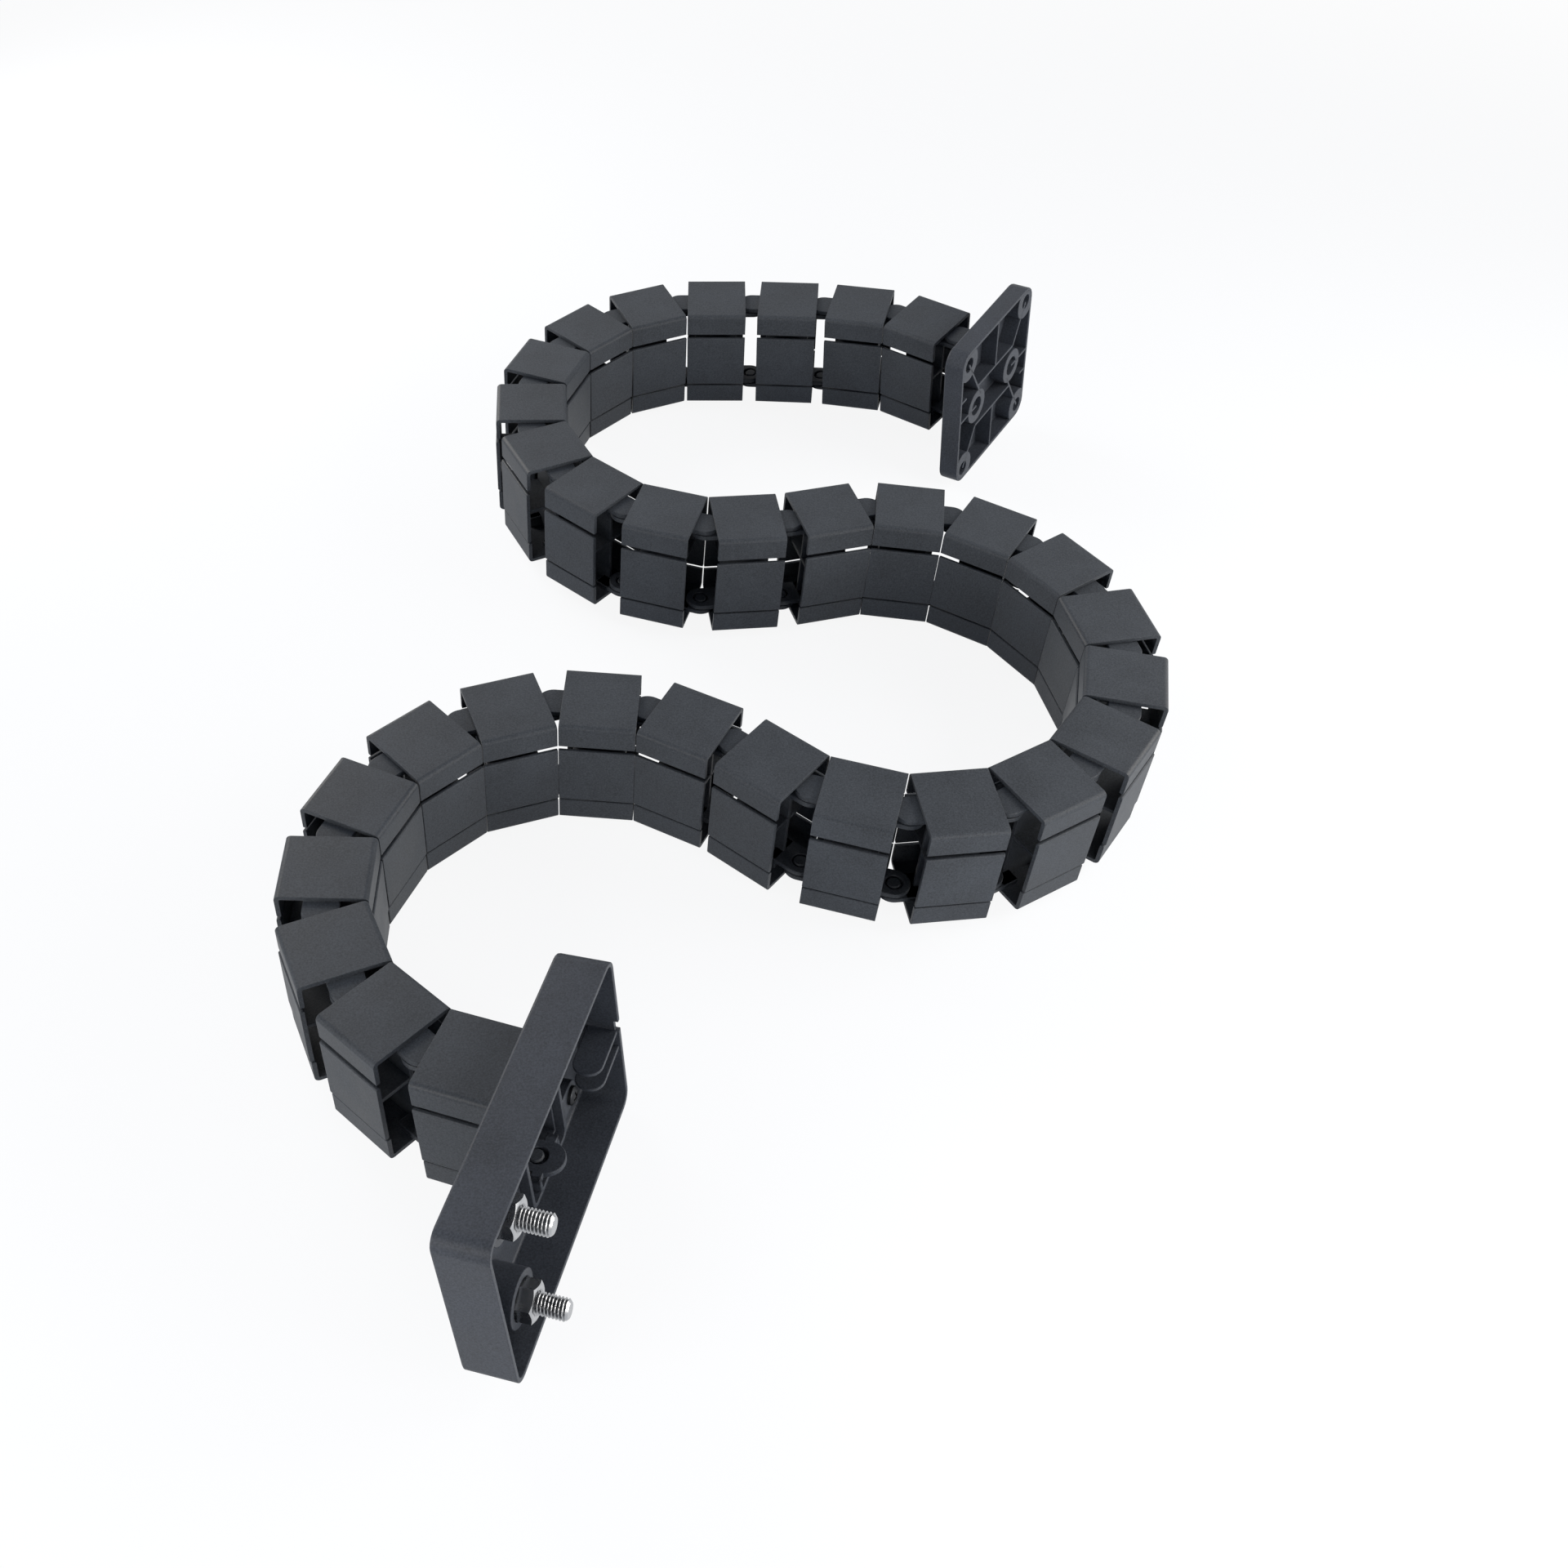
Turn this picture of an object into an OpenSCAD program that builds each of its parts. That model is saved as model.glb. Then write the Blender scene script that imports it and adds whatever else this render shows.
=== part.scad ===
// Cable spine: a chain of four-chamber links, hinged one to the next, from a mounting plate to a base tray.
// It lies on its edge in an S, with the hinge axes upright. Millimetres.
// Origin: centre of the plate's mounting face. +Z up, +Y from the near loop of the S to the far one.

/* [Link] */
// Distance from hinge to hinge
pitch = 40; // [36:1:48]
// Clear gap between two straight links
gap = 8.7; // [8:0.1:10]
// Width over the top and bottom channels
link_w = 36; // [32:1:44]
// Height of a link
link_h = 56; // [54:1:66]
// Wall of channels and panels
wall = 1.9; // [1.6:0.1:2.2]
// Outer radius of the long edges
edge_r = 2.2; // [1.5:0.1:5]
// Depth of the top and bottom channels
channel_h = 11.5; // [10.5:0.5:14]
// Height of the upper cable slits
upper_slit = 2; // [0.8:0.1:4]
// Height of the lower cable slits
lower_slit = 1.2; // [0.8:0.1:4]
// How far the side panels stand proud of the channels
panel_proud = 0.5; // [0.2:0.1:1]
// Edge radius of the side panels
panel_r = 0.7; // [0.3:0.1:0.8]
// Thickness of the dividers inside
divider = 1.8; // [1.2:0.1:2.4]
// How far the dividers stay back from the link's ends
divider_back = 4.2; // [4.1:0.1:6]

/* [Hinge] */
// Width of the tongues
tongue_w = 14; // [12:1:15]
// Thickness of the tongues
tongue_t = 2.4; // [2:0.1:2.8]
// Radius of the moulded pins
pin_r = 3; // [2:0.5:4]
// Chamfer at the free end of a pin
pin_chamfer = 0.6; // [0.3:0.1:1]
// Play between pin and eye
pin_play = 1.2; // [1.1:0.1:1.4]
// Play between the layers of a hinge
layer_play = 0.5; // [0.4:0.1:0.7]
// Play between a tongue's tip and the neighbour's root
tip_play = 1.4; // [1.2:0.1:1.6]
// Length of the blocks that tie the eyed tongues to the wall
root_l = 4; // [3:0.5:6]
// Room left between two links at the stop
stop_play = 0.9; // [0.8:0.1:1.2]

/* [Mounting plate] */
// Side of the square plate
plate_side = 80; // [76:1:100]
// Overall thickness of the plate
plate_t = 10.5; // [8:0.5:14]
// Corner radius of the plate
plate_r = 8; // [6:1:10]
// Thickness of the plate's skin
skin_t = 2; // [1.5:0.5:3]
// Thickness of the plate's rim
rim_t = 1.8; // [1.2:0.2:3]
// Thickness of the plate's ribs
rib_t = 1.3; // [1:0.1:2]
// Distance between the corner holes
hole_spacing = 65; // [62:1:65]
// Radius of the corner holes
hole_r = 2.6; // [2:0.2:3.2]
// Radius of the corner bosses
hole_boss_r = 6.8; // [5:0.2:7]
// Distance of the cross ribs from the plate's middle
rib_row = 12.5; // [11:0.5:16]
// Length of the stub ribs
rib_stub = 6; // [4:1:8]
// Distance between the two connector screws
screw_spacing = 41; // [38:1:44]
// Radius of the screw bosses
screw_boss_r = 8.6; // [7:0.2:9]
// Distance from the first hinge to the plate's inner face
plate_reach = 12.3; // [12:0.1:16]
// Thickness of the connector's flange
flange_t = 4; // [3:0.5:4.5]
// Width of the flange's two bars
flange_w = 18; // [16:1:20]

/* [Base tray] */
// Length of the tray
tray_l = 124; // [118:1:150]
// Height of the tray
tray_h = 80; // [76:1:100]
// Depth of the tray
tray_d = 20; // [19:1:30]
// Corner radius of the tray
tray_r = 6; // [4:1:8]
// Wall of the tray
tray_wall = 1.8; // [1.5:0.1:2.5]
// Distance from the chain to the middle of the tray
tray_side = 15; // [10:1:18]
// Gap between the last link and the tray
seat_gap = 2.5; // [2.4:0.1:4]
// Distance from the tray's near end to the bolts
bolt_end = 24; // [20:1:28]
// Distance between the two bolts
bolt_spacing = 50; // [44:1:54]
// Radius of the bolt pillars
pillar_r = 10.5; // [9.5:0.5:11]
// Height of the bolt pillars above the floor
pillar_h = 11.4; // [8:0.2:13]
// Height of the collar round the chain's opening
collar_h = 4.3; // [4:0.1:6]
// Reach of the collar's saddles past the last hinge
saddle_l = 3.3; // [2:0.1:6]
// Thickness of the collar's ears
ear_t = 3; // [2:0.5:3.5]
// Height of the lip round a nut's seat
lip_h = 1; // [0.6:0.1:3]
// Length of the cable clips on the far wall
clip_l = 22; // [14:1:24]
// Width of the cable clips
clip_w = 11.5; // [8:0.5:12]
// Thickness of the cable clips
clip_t = 1.4; // [1:0.1:2]
// Distance between the two cable clips
clip_gap = 8.5; // [6:0.5:12]
// Distance of the cable clips below the rim
clip_depth = 0.8; // [0.5:0.1:3]
// Height of the notch above the cable clips
notch_h = 5; // [3:0.5:8]
// Depth of the notch
notch_d = 1.8; // [1:0.1:4]

/* [Fasteners] */
// Radius of the bolts over the thread
bolt_r = 4; // [3.8:0.1:4]
// Radius of the bolts' shanks in the tray and the nut
shank_r = 3.6; // [3:0.1:3.7]
// Length of the bolts under the head
bolt_l = 26; // [22:1:30]
// Width across flats of bolt heads and nuts
hex_w = 13; // [10:0.5:13]
// Height of the bolt heads
head_h = 5.3; // [4:0.1:6]
// Height of the nuts
nut_h = 6.8; // [5:0.1:8]
// Radius of the screw shanks
screw_r = 1.7; // [1.5:0.1:2]
// Radius of the screw heads
screw_head_r = 3.7; // [3:0.1:3.8]
// Height of the screw heads
screw_head_h = 2.4; // [2:0.1:3]
// Play round bolts, heads and screws
bolt_play = 0.2; // [0.1:0.05:0.4]

/* [Lay] */
// Heading of the middle link, seen from above
mid_heading = 305; // [0:1:359]
// Tightest bend in the loops
loop_bend = 23.5; // [15:0.5:23.5]
// Climb of each hinge next to the plate, within its play
plate_climb = 1.2; // [0:0.1:1.6]
// Number of hinges that climb next to the plate
plate_hinges = 7; // [0:1:7]
// Climb of each hinge next to the tray, within its play
base_climb = 1.6; // [0:0.1:1.6]
// Number of hinges that climb next to the tray
base_hinges = 4; // [0:1:7]
// Climb of the tray on the last link
tray_climb = 2.3; // [0:0.1:2.3]

/* [Hidden] */
$fn = 48;
plastic = "#3d4045";
dark_plastic = "#33363b";
steel = "#c3c7cb";

link_l = pitch - gap;
panel_w = link_w + 2 * panel_proud;
panel_h = link_h - 2 * channel_h - upper_slit - lower_slit;
panel_z = (lower_slit - upper_slit) / 2;
inner_r = max(edge_r - wall, wall / 8);
hinge_x = pitch / 2;
divider_l = link_l - 2 * divider_back;
bond = wall / 2;
ceiling = link_h / 2 - wall;
outer_z = ceiling - layer_play - tongue_t;
inner_z = outer_z - layer_play - tongue_t;
pin_h = layer_play + tongue_t - pin_chamfer;
root_x = hinge_x - tongue_w / 2 - tip_play;
tongue_root = root_x - root_l;
// How far a cut runs past the faces that it opens
past = 1;

// Two links meet at their side panels when they are bent this far
bend_max = 2 * atan((gap - stop_play) / panel_w);
tight = min(loop_bend, bend_max);

// The lay, walking from the plate to the tray: [number of hinges, bend of each]
stretches = [
    [1, -5], [1, tight], [1, 9], [1, 5], [8, tight], [1, 9], [10, -tight], [1, 12], [8, tight], [1, 3]
];
bends = [for (s = stretches) for (k = [1:s[0]]) s[1]];
links = len(bends) - 1;
middle = floor(links / 2);

tray_x = seat_gap - gap / 2;
floor_x = tray_x + tray_wall;
opening_w = link_w - 2 * wall;
opening_h = 2 * (outer_z + tongue_t + tip_play);
collar_w = opening_w + 2 * wall;
cheek_y = tongue_w / 2 + tip_play;
ear_r = screw_head_r + wall;
ear_y = collar_w / 2 + tip_play + ear_r;
ear_z = opening_h / 2 - 2 * ear_r;
ear_boss_h = collar_h - ear_t;
bolt_side = tray_l / 2 - bolt_end;
nut_x = floor_x + pillar_h;
seat_r = hex_w / sqrt(3) + bolt_play;
// From the underside of a bolt's head to the front of its nut
grip_l = nut_x + nut_h - tray_x - head_h;

function link_name(i) = str("link_", i < 10 ? "0" : "", i);

// Places along the chain, as 4 x 4 matrices
function shift(v) = [[1, 0, 0, v.x], [0, 1, 0, v.y], [0, 0, 1, v.z], [0, 0, 0, 1]];
function turn_z(a) = [[cos(a), -sin(a), 0, 0], [sin(a), cos(a), 0, 0], [0, 0, 1, 0], [0, 0, 0, 1]];
function turn_y(a) = [[cos(a), 0, sin(a), 0], [0, 1, 0, 0], [-sin(a), 0, cos(a), 0], [0, 0, 0, 1]];
function climb_of(i) =
    i == links ? tray_climb
    : i >= links - base_hinges ? base_climb
    : i < plate_hinges ? plate_climb
    : 0;
function bend_on(i) = turn_z(bends[i]) * turn_y(-climb_of(i));
function bend_back(i) = turn_y(climb_of(i)) * turn_z(-bends[i]);
half = shift([hinge_x, 0, 0]);
half_back = shift([-hinge_x, 0, 0]);
function walk(i) =
    i == middle ? turn_z(mid_heading)
    : i > middle ? walk(i - 1) * half * bend_on(i - 1) * half
    : walk(i + 1) * half_back * bend_back(i) * half_back;
plate_walk = walk(1) * half_back * bend_back(0) * shift([-plate_reach - plate_t, 0, 0]);
to_origin = shift([-plate_walk[0][3], -plate_walk[1][3], -plate_walk[2][3]]);
plate_place = to_origin * plate_walk;
tray_place = to_origin * walk(links) * half * bend_on(links);
function link_place(i) = to_origin * walk(i);

// A flat shape in Y and Z, made solid along X from x to x + l
module along(x, l) {
    translate([x, 0, 0]) rotate([90, 0, 90]) linear_extrude(l) children();
}

module both_sides() {
    for (s = [0, 1]) mirror([0, 0, s]) children();
}

// Rectangle with round corners, centred
module rounded(w, h, r) {
    square([w - 2 * r, h], center = true);
    square([w, h - 2 * r], center = true);
    for (x = [-1, 1], y = [-1, 1]) translate([x * (w / 2 - r), y * (h / 2 - r)]) circle(r);
}

// Top and bottom channels and the two side panels, in cross-section
module shell_section() {
    intersection() {
        difference() {
            rounded(link_w, link_h, edge_r);
            rounded(link_w - 2 * wall, link_h - 2 * wall, inner_r);
        }
        for (s = [-1, 1]) translate([0, s * link_h / 2])
            square([2 * link_w, 2 * channel_h], center = true);
    }
    for (s = [-1, 1]) translate([s * (panel_w - wall) / 2, panel_z]) rounded(wall, panel_h, panel_r);
}

module divider_section() {
    square([divider, link_h - 2 * bond], center = true);
    square([panel_w - 2 * bond, divider], center = true);
}

// Tongue from x = root to the hinge, with a round tip
module tongue(root) {
    linear_extrude(tongue_t) {
        translate([root, -tongue_w / 2]) square([hinge_x - root, tongue_w]);
        translate([hinge_x, 0]) circle(tongue_w / 2);
    }
}

module block(x, z, l, h) {
    translate([x, -tongue_w / 2, z]) cube([l, tongue_w, h]);
}

// Outer tongues from x = root, fused to the wall above them up to x = tip, with pins that point inwards
module pin_tongues(root, tip) {
    both_sides() {
        translate([0, 0, outer_z]) tongue(root);
        block(root, outer_z, tip - root, link_h / 2 - bond - outer_z);
        translate([hinge_x, 0, outer_z]) mirror([0, 0, 1]) {
            cylinder(r = pin_r, h = pin_h);
            translate([0, 0, pin_h]) cylinder(r1 = pin_r, r2 = pin_r - pin_chamfer, h = pin_chamfer);
        }
    }
}

// Inner tongues from x = root, carried by a block that ends at root_x, each with an eye
module eye_tongues(root) {
    both_sides() difference() {
        union() {
            translate([0, 0, inner_z]) tongue(root);
            block(root, inner_z, root_x - root, link_h / 2 - bond - inner_z);
        }
        translate([hinge_x, 0, inner_z - tongue_t]) cylinder(r = pin_r + pin_play, h = 3 * tongue_t);
    }
}

module link() {
    color(plastic) union() {
        along(-link_l / 2, link_l) shell_section();
        along(-divider_l / 2, divider_l) divider_section();
        pin_tongues(tongue_root, link_l / 2);
        mirror([1, 0, 0]) eye_tongues(tongue_root);
    }
}

// A rib of the plate between two points
module rib(a, b) {
    d = b - a;
    translate(a) rotate(atan2(d.y, d.x)) translate([0, -rib_t / 2]) square([norm(d), rib_t]);
}

// Ribs and bosses of the plate, seen along the chain; half a turn carries the pattern into itself
module plate_pattern() {
    edge = (plate_side - rim_t) / 2;
    hole = hole_spacing / 2;
    screw = screw_spacing / 2;
    for (turn = [0, 180]) rotate(turn) {
        rib([-screw, rib_row], [screw, rib_row]);
        rib([0, rib_row], [0, edge]);
        rib([-edge, 0], [-screw, 0]);
        rib([edge - rib_stub, rib_row], [edge, rib_row]);
        rib([hole, hole], [screw - screw_boss_r / 2, screw_boss_r / 2]);
        rib([-hole, hole], [-screw, rib_row]);
    }
    for (y = [-1, 1], z = [-1, 1]) translate([y * hole, z * hole]) circle(hole_boss_r);
    for (y = [-1, 1]) translate([y * screw, 0]) circle(screw_boss_r);
}

module mounting_plate() {
    color(dark_plastic) difference() {
        union() {
            along(plate_t - skin_t, skin_t) rounded(plate_side, plate_side, plate_r);
            along(0, plate_t) difference() {
                rounded(plate_side, plate_side, plate_r);
                rounded(plate_side - 2 * rim_t, plate_side - 2 * rim_t, plate_r - rim_t);
            }
            along(0, plate_t - skin_t) plate_pattern();
        }
        for (y = [-1, 1], z = [-1, 1]) along(-past, plate_t + 2 * past)
            translate([y, z] * hole_spacing / 2) circle(hole_r);
        for (y = [-1, 1]) {
            along(-past, plate_t + 2 * past) translate([y * screw_spacing / 2, 0])
                circle(screw_r + bolt_play);
            along(-past, plate_t - skin_t + past) translate([y * screw_spacing / 2, 0])
                circle(screw_head_r + 4 * bolt_play);
        }
    }
}

// End piece behind the plate: a cross-shaped flange with two pinned tongues
module plate_connector() {
    inner = plate_t;
    to_hinge = plate_t + plate_reach - hinge_x;
    flange_l = screw_spacing + 2 * ear_r;
    color(plastic) difference() {
        union() {
            along(inner, flange_t) {
                rounded(flange_l, flange_w, edge_r);
                rounded(flange_w, link_h - 2 * bond, edge_r);
            }
            translate([to_hinge, 0, 0]) pin_tongues(inner - to_hinge, root_x);
        }
        for (y = [-1, 1]) along(inner - past, flange_t + 2 * past)
            translate([y * screw_spacing / 2, 0]) circle(screw_r + bolt_play / 2);
    }
}

// Pan-head screw along X, the underside of its head at x = 0
module screw(l) {
    along(-screw_head_h, screw_head_h) circle(screw_head_r);
    along(0, l) circle(screw_r);
}

module plate_screws() {
    color(steel) for (y = [-1, 1])
        translate([plate_t - skin_t, y * screw_spacing / 2, 0]) screw(skin_t + flange_t);
}

// The tray's own middle, measured from the chain
module at_tray() {
    translate([tray_x, -tray_side, 0]) children();
}

module at_bolts(x) {
    for (z = [-1, 1]) translate([x, -tray_side - bolt_side, z * bolt_spacing / 2]) children();
}

module at_ears(x) {
    for (s = [-1, 1]) translate([x, s * ear_y, -s * ear_z]) children();
}

module hexagon(w) {
    circle(r = w / sqrt(3), $fn = 6);
}

// Two level tongues with round ends that stand out of the far wall and clip the cables
module cable_clips() {
    end_r = clip_w / 2;
    for (z = [0, -clip_gap])
        translate([tray_d - clip_depth - end_r, tray_l / 2 - tray_wall + bond, z - clip_t / 2])
            linear_extrude(clip_t) {
                translate([-end_r, end_r - clip_l - bond]) square([clip_w, clip_l + bond - end_r]);
                translate([0, end_r - clip_l - bond]) circle(end_r);
            }
}

module base_tray() {
    color(plastic) difference() {
        union() {
            at_tray() difference() {
                along(0, tray_d) rounded(tray_l, tray_h, tray_r);
                along(tray_wall, tray_d)
                    rounded(tray_l - 2 * tray_wall, tray_h - 2 * tray_wall, tray_r - tray_wall);
            }
            at_tray() cable_clips();
            at_bolts(tray_x + bond) along(0, tray_wall - bond + pillar_h) circle(pillar_r);
            at_bolts(floor_x) along(0, pillar_h + lip_h) difference() {
                circle(pillar_r);
                circle(seat_r);
            }
            at_ears(tray_x + bond) along(0, tray_wall - bond + ear_boss_h) circle(ear_r);
        }
        along(tray_x - past, tray_wall + 2 * past) rounded(opening_w, opening_h, edge_r);
        at_bolts(tray_x - past) along(0, pillar_h + tray_wall + 2 * past) circle(bolt_r + bolt_play);
        at_bolts(tray_x - past) along(0, head_h + past) hexagon(hex_w + 2 * bolt_play);
        at_ears(tray_x - past) along(0, ear_boss_h + tray_wall + 2 * past) circle(screw_r + bolt_play / 2);
        at_tray() translate([tray_d - notch_d, tray_l / 2 - 2 * tray_wall, clip_t / 2])
            cube([2 * notch_d, 3 * tray_wall, notch_h]);
    }
}

// Saddles over the last link's tongues, top and bottom: a plate with round ends and an eye for the pin,
// on two cheeks that stand on the collar
module saddles() {
    wing = 2 * (cheek_y + wall);
    both_sides() difference() {
        union() {
            translate([0, 0, inner_z]) linear_extrude(tongue_t) {
                for (x = [0, saddle_l]) translate([x, 0]) circle(tongue_w / 2);
                translate([0, -tongue_w / 2]) square([saddle_l, tongue_w]);
                translate([floor_x, -wing / 2]) square([collar_h, wing]);
            }
            for (s = [0, 1]) mirror([0, s, 0]) translate([floor_x, cheek_y, inner_z])
                cube([collar_h, wall, opening_h / 2 + bond - inner_z]);
        }
        translate([0, 0, inner_z - tongue_t]) cylinder(r = pin_r + pin_play, h = 3 * tongue_t);
    }
}

// End piece in the tray: a collar round the opening, with two screwed ears and saddles for the last link
module base_connector() {
    ear_x = floor_x + ear_boss_h;
    ear_root = collar_w / 2 - bond;
    color(dark_plastic) difference() {
        union() {
            along(floor_x, collar_h) difference() {
                rounded(collar_w, opening_h + 2 * wall, edge_r + wall);
                rounded(opening_w, opening_h, edge_r);
            }
            saddles();
            along(ear_x, ear_t) for (turn = [0, 180]) rotate(turn) {
                translate([ear_y, -ear_z]) circle(ear_r);
                translate([ear_root, -ear_z - ear_r]) square([ear_y - ear_root, 2 * ear_r]);
            }
        }
        at_ears(ear_x - past) along(0, ear_t + 2 * past) circle(screw_r + bolt_play);
    }
}

module base_connector_screws() {
    color(steel) at_ears(floor_x + collar_h) mirror([1, 0, 0]) screw(collar_h + bond);
}

// Bolt along X, the underside of its head at x = 0, with its thread in front of the nut
module bolt() {
    color(steel) {
        along(-head_h, head_h) hexagon(hex_w);
        along(0, grip_l) circle(shank_r);
        along(grip_l, bolt_l - grip_l) circle(bolt_r);
    }
}

module nut() {
    color(steel) along(0, nut_h) difference() {
        hexagon(hex_w);
        circle(shank_r + bolt_play / 2);
    }
}

// Upper and lower fasteners of the tray: [name, side]
rows = [["upper", 1], ["lower", -1]];

module on_tray(x, side) {
    multmatrix(tray_place) translate([x, -tray_side - bolt_side, side * bolt_spacing / 2]) children();
}

for (i = [1:links])
    multmatrix(link_place(i)) link();
multmatrix(plate_place) mounting_plate();
multmatrix(plate_place) plate_connector();
multmatrix(plate_place) plate_screws();
multmatrix(tray_place) base_tray();
multmatrix(tray_place) base_connector();
multmatrix(tray_place) base_connector_screws();
for (r = rows) {
    on_tray(tray_x + head_h, r[1]) bolt();
    on_tray(nut_x, r[1]) nut();
}
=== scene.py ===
"""Looks of a cable spine: hinged four-chamber links between a mounting plate and a base tray.

Pieces are worked out in millimetres, each in its own frame, and carried to their places along the chain.
"""

import bpy
import numpy as np
from mathutils import Matrix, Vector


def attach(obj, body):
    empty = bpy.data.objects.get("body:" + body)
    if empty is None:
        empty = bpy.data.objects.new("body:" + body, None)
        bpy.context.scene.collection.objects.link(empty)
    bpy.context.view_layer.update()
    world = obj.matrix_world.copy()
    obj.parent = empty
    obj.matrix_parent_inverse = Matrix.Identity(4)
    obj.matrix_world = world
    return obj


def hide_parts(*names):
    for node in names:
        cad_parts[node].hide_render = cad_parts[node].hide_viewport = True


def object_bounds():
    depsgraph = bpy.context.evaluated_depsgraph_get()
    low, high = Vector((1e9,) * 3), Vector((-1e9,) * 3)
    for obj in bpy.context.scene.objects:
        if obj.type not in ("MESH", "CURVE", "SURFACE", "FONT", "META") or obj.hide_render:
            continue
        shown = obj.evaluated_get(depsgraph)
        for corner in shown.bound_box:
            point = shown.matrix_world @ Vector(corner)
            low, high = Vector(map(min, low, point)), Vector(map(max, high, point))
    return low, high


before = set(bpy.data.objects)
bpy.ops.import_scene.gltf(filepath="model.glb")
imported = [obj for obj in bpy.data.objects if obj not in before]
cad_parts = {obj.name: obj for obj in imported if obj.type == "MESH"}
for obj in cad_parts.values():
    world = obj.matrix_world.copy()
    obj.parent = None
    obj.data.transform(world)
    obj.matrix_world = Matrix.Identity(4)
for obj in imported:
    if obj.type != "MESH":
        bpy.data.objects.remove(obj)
cad_box = [list(corner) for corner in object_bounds()]

MM = 0.001

# Link
PITCH = 40
GAP = 8.7
LINK_W = 36
LINK_H = 56
WALL = 1.9
EDGE_R = 2.2
CHANNEL_H = 11.5
UPPER_SLIT = 2
LOWER_SLIT = 1.2
PANEL_PROUD = 0.5
PANEL_R = 0.7
DIVIDER = 1.8
DIVIDER_BACK = 4.2

# Hinge
TONGUE_W = 14
TONGUE_T = 2.4
PIN_R = 3
PIN_CHAMFER = 0.6
LAYER_PLAY = 0.5
TIP_PLAY = 1.4
ROOT_L = 4
# Reach of a link's ends past its length, and play of a pin in its eye, set to keep the seams closed
END_REACH = 0.45
EYE_PLAY = 0.7

# Mounting plate
PLATE_SIDE = 80
PLATE_T = 10.5
PLATE_R = 8
SKIN_T = 2
RIM_T = 1.8
RIB_T = 1.3
HOLE_SPACING = 65
HOLE_R = 2.6
HOLE_BOSS_R = 9.2
HOLE_MOUTH_R = 3.9
HOLE_MOUTH_D = 3
RIB_ROW = 12.5
RIB_STUB = 6
SCREW_SPACING = 41
SCREW_BOSS_R = 9.4
SCREW_MOUTH_R = 5.1
PLATE_REACH = 12.3
FLANGE_T = 4
FLANGE_W = 18

# Base tray
TRAY_L = 124
TRAY_H = 80
TRAY_D = 20
TRAY_R = 6
TRAY_WALL = 1.8
TRAY_SIDE = 15
SEAT_GAP = 2.5
BOLT_END = 24
BOLT_SPACING = 50
PILLAR_R = 10.5
PILLAR_H = 11.4
LIP_H = 1
COLLAR_H = 4.3
SADDLE_L = 3.3
SKIRT_T = 1
SKIRT_PLAY = 0.5
SKIRT_DEPTH = 1
EAR_T = 3
CLIP_L = 22
CLIP_W = 11.5
CLIP_T = 1.4
CLIP_GAP = 8.5
CLIP_DEPTH = 0.8
NOTCH_H = 5
NOTCH_D = 1.8

# Fasteners
BOLT_R = 4
BOLT_L = 26
THREAD_PITCH = 1.25
# Depth of the thread as a share of its pitch, steepness of its flanks, and chamfer of the bolt's tip
THREAD_DEPTH = 0.61
THREAD_STEEP = 1.25
TIP_CHAMFER = 1.1
# Hexagon: width across the flats, radius of its flat face as a share of that, and slope of the cone outside
HEX_W = 13
CONE_FROM = 0.475
CONE_DEG = 30
# Bolt head: height, and inner ring of its faces as a share of their reach
HEAD_H = 5.3
HEAD_CORE = 0.1
# Nut: height, and countersink of its bore by width beside the bolt and by depth
NUT_H = 6.8
NUT_MOUTH = 0.7
NUT_SINK = 0.6
SCREW_R = 1.7
SCREW_HEAD_R = 3.7
SCREW_HEAD_H = 2.4
# Dome of a screw's head: inner ring as a share of its radius, and drop as a share of its height
DOME_CORE = 0.02
DOME_DROP = 0.45
# Cross recess: half the width of an arm, reach of the arms as a share of the head's radius, and depth
CROSS_ARM = 0.42
CROSS_REACH = 0.58
CROSS_DEPTH = 1.3
# Play round bolts and nuts, and round the plate's screw heads
PLAY = 0.2
HEAD_PLAY = 0.8

# Moulded edges: radii of ends, lips and tray edges, and the taper at the ends of a side panel
END_R = 0.35
FINE_R = 0.15
LIP_R = 0.45
SOFT_R = 0.6
TRAY_EDGE_R = 1.1
TAPER = 0.1
TAPER_L = 0.5
# Angle in degrees past which an edge shows as sharp
SHARP_DEG = 42

# Fineness of the meshes: steps of a corner, of an edge, and of the round ends of tongues, clips and ears
ARC_STEPS = 5
EDGE_STEPS = 3
TONGUE_STEPS = 12
CLIP_STEPS = 8
EAR_STEPS = 10
# Points round a bore, a turned piece, a pin and a hexagon
BORE_POINTS = 48
TURNED_POINTS = 64
PIN_POINTS = 40
HEX_POINTS = 96
# Rows of points over a hexagon's face, over a screw's dome and in each turn of a thread
FACE_ROWS = 9
DOME_ROWS = 24
TURN_ROWS = 10
# Spacing of points on an outline round an eye, and distances at which two points of an outline are one
EYE_STEP = 1
SAME_POINT = 1e-6
SAME_SPOT = 1e-4
# How far a cutting tool runs past the face that it cuts
OVERRUN = 1

# Lay of the chain, from the plate to the tray, as pairs of hinges and degrees
MID_HEADING = 305
LOOP_BEND = 23.5
STRETCHES = ((1, -5), (1, LOOP_BEND), (1, 9), (1, 5), (8, LOOP_BEND), (1, 9),
             (10, -LOOP_BEND), (1, 12), (8, LOOP_BEND), (1, 3))
PLATE_CLIMB = 1.2
PLATE_HINGES = 7
BASE_CLIMB = 1.6
BASE_HINGES = 4
TRAY_CLIMB = 2.3

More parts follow.
